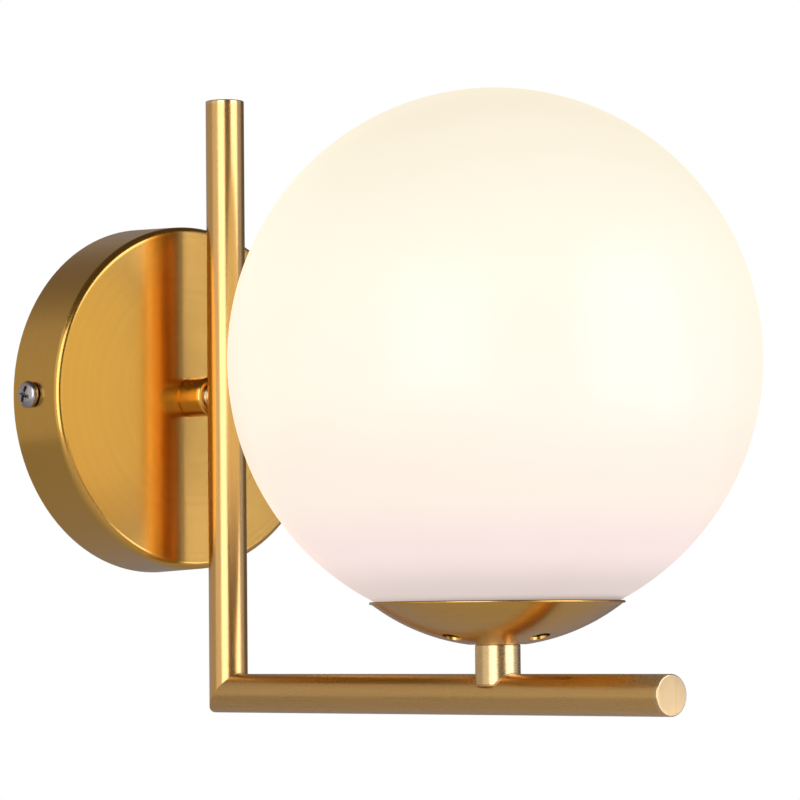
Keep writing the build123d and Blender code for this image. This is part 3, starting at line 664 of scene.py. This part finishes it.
def pan_screw(head_radius, head_height, shank_radius, length, pitch):
    """Pan head on the Z axis, its seat at the origin, with a cross recess and a cut thread."""
    brow = 0.42 * head_height
    seat_edge = head_radius - 0.15 * MM
    point = 0.45 * MM
    crown = [
        (head_radius * cos(radians(angle)), brow + (head_height - brow) * sin(radians(angle)))
        for angle in range(0, 91, 10)
    ]
    thread_start, thread_end = (shank_radius, -0.3 * MM), (shank_radius, -length + 0.4 * MM)
    head = [(0, head_height)] + crown[-2::-1] + [(seat_edge, 0), (shank_radius, 0)]
    thread = run(thread_start, thread_end, round(length / pitch * STEPS_A_THREAD_TURN))
    tip = [(shank_radius - point, -length), (0, -length)]
    bm = turned(head + thread + tip, HEAD_STEPS, closed=False)
    cut_thread(bm, shank_radius, 0.55 * pitch, pitch, -length + 0.2 * MM, -0.2 * MM)
    cross_length, cross_width, cross_depth = 0.62 * head_radius, 0.15 * head_radius, 0.6 * head_height
    press_cross(bm, cross_length, cross_width, cross_depth, brow)
    return bm


def make_screws(steel):
    """Every screw of the frame, with its real head and thread."""

    def m4(length, head_radius=M4_HEAD_RADIUS):
        return pan_screw(head_radius, M4_HEAD_HEIGHT, M4_RADIUS, length, M4_PITCH)

    def m3(length):
        return pan_screw(M3_HEAD_RADIUS, M3_HEAD_HEIGHT, M3_RADIUS, length, M3_PITCH)

    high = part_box("canopy_side_screws")[1]
    sides = []
    for side in (-1, 1):
        seat = Vector((side * (high[0] - M4_HEAD_HEIGHT), -SIDE_SCREW_OUT, 0))
        twist = Matrix.Rotation(SIDE_SCREW_TWIST * side, 4, "Z")
        sides.append(placed(m4(SIDE_SCREW_LENGTH), facing(seat, (side, 0, 0)) @ twist))
    piece("canopy_screws_pan_head", joined(sides), steel, "frame", "screw_steel", "canopy_side_screws")

    low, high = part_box("holder_screws")
    pair = []
    for x in (low[0] + M3_HEAD_RADIUS, high[0] - M3_HEAD_RADIUS):
        seat = Vector((x, GLOBE_AXIS.y, high[2] - M3_HEAD_HEIGHT))
        pair.append(placed(m3(seat.z - low[2]), facing(seat, (0, 0, 1))))
    piece("holder_screws_pan_head", joined(pair), steel, "frame", "screw_steel", "holder_screws")

    for node, screw, head_height in (
        ("terminal_block_screw", m3, M3_HEAD_HEIGHT),
        ("earth_screw", lambda length: m4(length, EARTH_HEAD_RADIUS), M4_HEAD_HEIGHT),
    ):
        low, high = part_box(node)
        seat = Vector(((low[0] + high[0]) / 2, low[1] + head_height, (low[2] + high[2]) / 2))
        shape = placed(screw(high[1] - seat.y), facing(seat, (0, -1, 0)))
        piece(node + "_pan_head", shape, steel, "frame", "screw_steel", node)


def threaded_tube(length):
    """All-thread hollow nipple on the Z axis with chamfered ends."""
    edge = 0.4 * MM
    steps = round(length / NIPPLE_PITCH * STEPS_A_THREAD_TURN)
    wall = run((NIPPLE_RADIUS, edge), (NIPPLE_RADIUS, length - edge), steps)
    top_end = [(NIPPLE_RADIUS - edge, length), (NIPPLE_BORE, length)]
    low_end = [(NIPPLE_BORE, 0), (NIPPLE_RADIUS - edge, 0)]
    bm = turned(wall + top_end + low_end, NIPPLE_STEPS)
    cut_thread(bm, NIPPLE_RADIUS, 0.45 * NIPPLE_PITCH, NIPPLE_PITCH, edge / 2, length - edge / 2)
    return bm


def make_nipples(steel):
    """The tubes that carry the wires into the upright and up through the stem."""
    low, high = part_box("feed_nipple")
    shape = placed(threaded_tube(high[1] - low[1]), facing((0, high[1], 0), (0, -1, 0)))
    piece("feed_nipple_threaded", shape, steel, "frame", "zinc_steel", "feed_nipple")
    low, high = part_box("stem_nipple")
    shape = placed(threaded_tube(high[2] - low[2]), on_globe_axis(low[2]))
    piece("stem_nipple_threaded", shape, steel, "frame", "zinc_steel", "stem_nipple")


# --- globe and its fixing ------------------------------------------------------------------------


def make_globe_glass(glass):
    """Blown opal glass, slightly taller than wide, with a fire-polished lip at its mouth."""
    low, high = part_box("globe")
    radius = (high[0] - low[0]) / 2
    inner_radius = radius - GLOBE_WALL
    inner_half = GLOBE_HALF_HEIGHT - GLOBE_WALL
    lip = GLOBE_WALL / 2
    outer_end = -acos((MOUTH_RADIUS + 0.7 * lip) / radius)
    inner_end = -acos((MOUTH_RADIUS + 0.7 * lip) / inner_radius)
    steps = 96
    outer = oval(radius, GLOBE_HALF_HEIGHT, pi / 2, outer_end, steps)
    inner = oval(inner_radius, inner_half, inner_end, pi / 2, steps)
    centre = (MOUTH_RADIUS + lip, (outer[-1][1] + inner[0][1]) / 2)
    rounded = arc(centre, lip, 250, 110, 8)
    bm = turned(outer + rounded + inner, GLOBE_STEPS, closed=False)
    shape = placed(bm, on_globe_axis(GLOBE_CENTRE_HEIGHT))
    piece("globe_glass", shape, glass, "shade", "opal_glass", "globe")


def make_collar(aluminium):
    """The ring cemented in the mouth, with the coarse thread turned into its bore."""
    low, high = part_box("glass_collar")
    outer = (high[0] - low[0]) / 2
    inner = outer - COLLAR_WALL
    height = high[2] - low[2]
    edge = 0.3 * MM
    groove = 0.7 * MM
    bore_steps = 44
    bore = run((inner, height - edge), (inner, edge), bore_steps)
    foot = [(inner + edge, 0), (outer - edge, 0), (outer, edge)]
    top = [(outer, height - edge), (outer - edge, height), (inner + edge, height)]
    bm = turned(bore + foot + top, COLLAR_STEPS)
    cut_thread(bm, inner, -groove, FIXING_PITCH, 0.5 * edge, height - 0.5 * edge)
    shape = placed(bm, on_globe_axis(low[2]))
    piece("collar_threaded", shape, aluminium, "shade", "ring_aluminium", "glass_collar")


def make_spigot_thread(aluminium):
    """The rolled thread that stands out of the fixing ring's wall."""
    low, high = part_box("thread_spigot")
    radius = (high[0] - low[0]) / 2
    proud = 0.28 * MM
    buried = 0.3 * MM
    half = 0.55 * MM
    start = low[2] + 1.6 * MM
    crest = 0.3 * half
    turns = 3.4
    bm = bmesh.new()
    outline = (
        (-buried, -half), (0, -half), (proud, -crest), (proud, crest), (0, half), (-buried, half),
    )
    verts = [bm.verts.new((radius + out, 0, start + up)) for out, up in outline]
    edges = [bm.edges.new(pair) for pair in zip(verts, verts[1:] + verts[:1])]
    bm.faces.new(verts)
    steps = round(turns * TUBE_STEPS)
    made = bmesh.ops.spin(
        bm, geom=bm.verts[:] + edges, cent=(0, 0, 0), axis=(0, 0, 1),
        dvec=(0, 0, FIXING_PITCH / TUBE_STEPS), angle=2 * pi * steps / TUBE_STEPS, steps=steps,
    )
    last = [item for item in made["geom_last"] if isinstance(item, bmesh.types.BMEdge)]
    bmesh.ops.edgeloop_fill(bm, edges=last)
    bmesh.ops.recalc_face_normals(bm, faces=bm.faces)
    shape = placed(bm, on_globe_axis())
    piece("fixing_ring_thread", shape, aluminium, "frame", "ring_aluminium")


# --- stem, seams, stand-off and cup --------------------------------------------------------------


def bead(name, points, radius, material, closed=True):
    """A fine run of solder along a line on the frame; an open run thins out to its ends."""
    curve = bpy.data.curves.new(name, "CURVE")
    curve.dimensions = "3D"
    curve.bevel_depth = radius
    curve.bevel_resolution = 2
    curve.use_fill_caps = not closed
    line = curve.splines.new("POLY")
    line.points.add(len(points) - 1)
    for number, place in enumerate(points):
        line.points[number].co = (*place, 1)
        if not closed:
            line.points[number].radius = sin(pi * (number + 0.5) / len(points))
    line.use_cyclic_u = closed
    drawn = bpy.data.objects.new(name, curve)
    mesh = bpy.data.meshes.new_from_object(drawn)
    bpy.data.objects.remove(drawn)
    bm = bmesh.new()
    bm.from_mesh(mesh)
    bmesh.ops.remove_doubles(bm, verts=bm.verts, dist=1e-7)
    bmesh.ops.recalc_face_normals(bm, faces=bm.faces)
    bpy.data.meshes.remove(mesh)
    piece(name, bm, material, "frame", "satin_brass")


def saddle_height(x):
    """Where the stem's lower edge lies on the arm, at this offset from the arm's middle."""
    return ARM_HEIGHT + sqrt(max(FOOT_OVER_ARM_MIDDLE**2, TUBE_RADIUS**2 - x**2))


def make_stem_tube(material):
    """The short tube under the cup: its lower edge is cut to sit astride the arm."""
    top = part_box("stem")[1][2]
    inner = STEM_RADIUS - STEM_WALL
    edge = 0.25 * MM
    profile = [(inner, top), (STEM_RADIUS - edge, top), (STEM_RADIUS, top - edge)]
    profile += run((STEM_RADIUS, top - 2 * edge), (STEM_RADIUS, ARM_HEIGHT), 4) + [(inner, ARM_HEIGHT)]
    bm = turned(profile, TUBE_STEPS)
    for vert in bm.verts:
        if vert.co.z < ARM_HEIGHT + edge:
            vert.co.z = saddle_height(vert.co.x)
    shape = placed(bm, on_globe_axis())
    piece("stem_saddled", shape, material, "frame", "satin_brass", "stem")


def make_seams(material):
    """Solder in the mitre's inner corner, and round the stem's foot."""
    fillet, seam = 0.32 * MM, 0.3 * MM
    corner_steps = 24
    inside_corner = []
    for step in range(corner_steps + 1):
        angle = radians(35 + 110 * step / corner_steps)
        out = TUBE_RADIUS * sin(angle)
        inside_corner.append((TUBE_RADIUS * cos(angle), UPRIGHT_PLACE.y - out, ARM_HEIGHT + out))
    bead("corner_fillet", inside_corner, fillet, material, closed=False)
    saddle = []
    for step in range(TUBE_STEPS):
        angle = 2 * pi * step / TUBE_STEPS
        x = STEM_RADIUS * cos(angle)
        saddle.append((x, GLOBE_AXIS.y + STEM_RADIUS * sin(angle), saddle_height(x)))
    bead("saddle_seam", saddle, seam, material)


def make_standoff(material):
    """A short turned distance piece, its front edge rounded over."""
    low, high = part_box("standoff")
    radius = (high[0] - low[0]) / 2
    length = high[1] - low[1]
    bore = 4.05 * MM
    rounded = 1.3 * MM
    chamfer = 0.5 * MM
    front = arc((radius - rounded, length - rounded), rounded, 0, 90, 8)
    foot = [(bore, 0), (radius - chamfer, 0), (radius, chamfer)]
    bm = turned(foot + front + [(bore, length)], TUBE_STEPS)
    shape = placed(bm, facing((0, high[1], 0), (0, -1, 0)))
    piece("standoff_turned", shape, material, "frame", "satin_brass", "standoff")


def make_cup_rim(material):
    """The cup's edge, rolled to a fine bead."""
    low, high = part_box("cup")
    thick = 0.38 * MM
    radius = (high[0] - low[0]) / 2 - 0.8 * thick
    bm = turned(arc((radius, high[2] - 0.3 * thick), thick, 0, 337.5, 15), GLOBE_STEPS)
    piece("cup_rolled_rim", placed(bm, on_globe_axis()), material, "frame", "satin_brass")


def make_vent_shade_ring(material):
    """A near-black ring under the fixing ring, a dark piece that stands as painted shade in the cup's
    vents; no daylight shows through two vents at once.
    """
    inner, outer = 12.6 * MM, 13.9 * MM
    gap = 0.1 * MM
    cup_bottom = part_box("cup")[0][2]
    inner_foot, outer_foot = cup_bottom + 1.62 * MM, cup_bottom + 1.93 * MM
    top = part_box("cup_nut")[1][2] - gap
    bm = turned([(inner, inner_foot), (outer, outer_foot), (outer, top), (inner, top)], TUBE_STEPS)
    piece("vent_shade_ring", placed(bm, on_globe_axis()), material, "frame", "silicone")


# --- the scene -----------------------------------------------------------------------------------

MATERIALS = {
    "canopy": brass("brass_spun_canopy", SPUN_BRASS, TURNED, TURNING_LINES, 0.19, turn=ALONG_Y),
    "standoff": brass("brass_turned_standoff", SPUN_BRASS, TURNED, TURNING_LINES, 0.22, turn=ALONG_Y),
    "upright": brass("brass_brushed_upright", DRAWN_BRASS, BRUSHED, BRUSHING_LINES, 0.23),
    "arm": brass("brass_brushed_arm", DRAWN_BRASS, BRUSHED, BRUSHING_LINES, 0.27, turn=ALONG_Y),
    "cap": brass("brass_faced_cap", FACED_BRASS, BRUSHED, BRUSHING_LINES, 0.17),
    "stem": brass("brass_turned_stem", FACED_BRASS, TURNED, TURNING_LINES, 0.26, move=TO_GLOBE_AXIS),
    "cup": brass("brass_spun_cup", SPUN_BRASS, TURNED, TURNING_LINES, 0.24, move=TO_GLOBE_AXIS),
    "zinc": spangled_zinc(),
    "nipple": metal("yellow_zinc_thread", YELLOW_ZINC, TURNED, 3000.0, LINE_DEPTH, 0.28),
    "nut": metal("zinc_turned", ZINC, TURNED, 3000.0, LINE_DEPTH, 0.30, move=TO_GLOBE_AXIS),
    "screw": metal("screw_steel", STEEL, TURNED, 3500.0, LINE_DEPTH, 0.22, turn=ALONG_X),
    "clamp": metal("terminal_brass", YELLOW_BRASS, TURNED, 3000.0, LINE_DEPTH, 0.28),
    "contact": metal("contact_nickel", NICKEL, BRUSHED, 5000.0, LINE_DEPTH, 0.26),
    "ring": metal("ring_aluminium", ALUMINIUM, TURNED, 2600.0, 2 * LINE_DEPTH, 0.30, move=TO_GLOBE_AXIS),
    "plastic": moulded("terminal_plastic", (0.84, 0.82, 0.77), (0.78, 0.76, 0.70), 0.42),
    "ceramic": fired_ceramic(),
    # near black: painted shade where the cup's vents show this ring
    "vent_shade_silicone": moulded("vent_shade_silicone", (0.035, 0.03, 0.025), (0.02, 0.018, 0.015), 0.7),
    "silicone": moulded("silicone", (0.70, 0.69, 0.66), (0.64, 0.63, 0.60), 0.5),
    "bulb_plastic": moulded("bulb_plastic", (0.86, 0.86, 0.84), (0.82, 0.82, 0.80), 0.35),
    "glass": opal_glass(),
    "cover": lit_cover(),
    "live": sleeve("live_sleeve", (0.20, 0.075, 0.03), (0.16, 0.06, 0.024)),
    "neutral": sleeve("neutral_sleeve", (0.05, 0.17, 0.50), (0.04, 0.14, 0.42)),
    "earth": sleeve("earth_sleeve", (0.10, 0.34, 0.07), (0.08, 0.28, 0.06), (0.75, 0.62, 0.05)),
}

FINISHES = {
    "canopy": "canopy",
    "upright_tube": "upright",
    "upright_end_cap": "cap",
    "arm_tube": "arm",
    "arm_end_cap": "cap",
    "cup": "cup",
    "mounting_bracket": "zinc",
    "holder_bracket": "zinc",
    "feed_nipple_nut": "nut",
    "feed_nipple_washer": "nut",
    "cup_washer": "nut",
    "cup_nut": "nut",
    "holder_nut": "nut",
    "holder_nuts": "nut",
    "terminal_screws": "screw",
    "terminal_clamps": "clamp",
    "holder_contacts": "contact",
    "earth_lug": "contact",
    "bulb_pins": "contact",
    "thread_spigot": "ring",
    "terminal_block": "plastic",
    "lamp_holder": "ceramic",
    "globe_gasket": "silicone",
    "collar_bead": "silicone",
    "bulb_base": "bulb_plastic",
    "bulb_cover": "cover",
    "live_wire": "live",
    "neutral_wire": "neutral",
    "earth_wire": "earth",
}


def finish_nodes():
    """The CAD pieces that stay get their own finish."""
    for name, finish in FINISHES.items():
        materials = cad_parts[name].data.materials
        materials.clear()
        materials.append(MATERIALS[finish])


make_camera()
make_room()
make_floor()
for lamp in SOFTBOXES:
    make_softbox(*lamp)

finish_nodes()
make_screws(MATERIALS["screw"])
make_nipples(MATERIALS["nipple"])
make_globe_glass(MATERIALS["glass"])
make_collar(MATERIALS["ring"])
make_spigot_thread(MATERIALS["ring"])
make_stem_tube(MATERIALS["stem"])
make_seams(MATERIALS["stem"])
make_standoff(MATERIALS["standoff"])
make_cup_rim(MATERIALS["cup"])
make_vent_shade_ring(MATERIALS["vent_shade_silicone"])
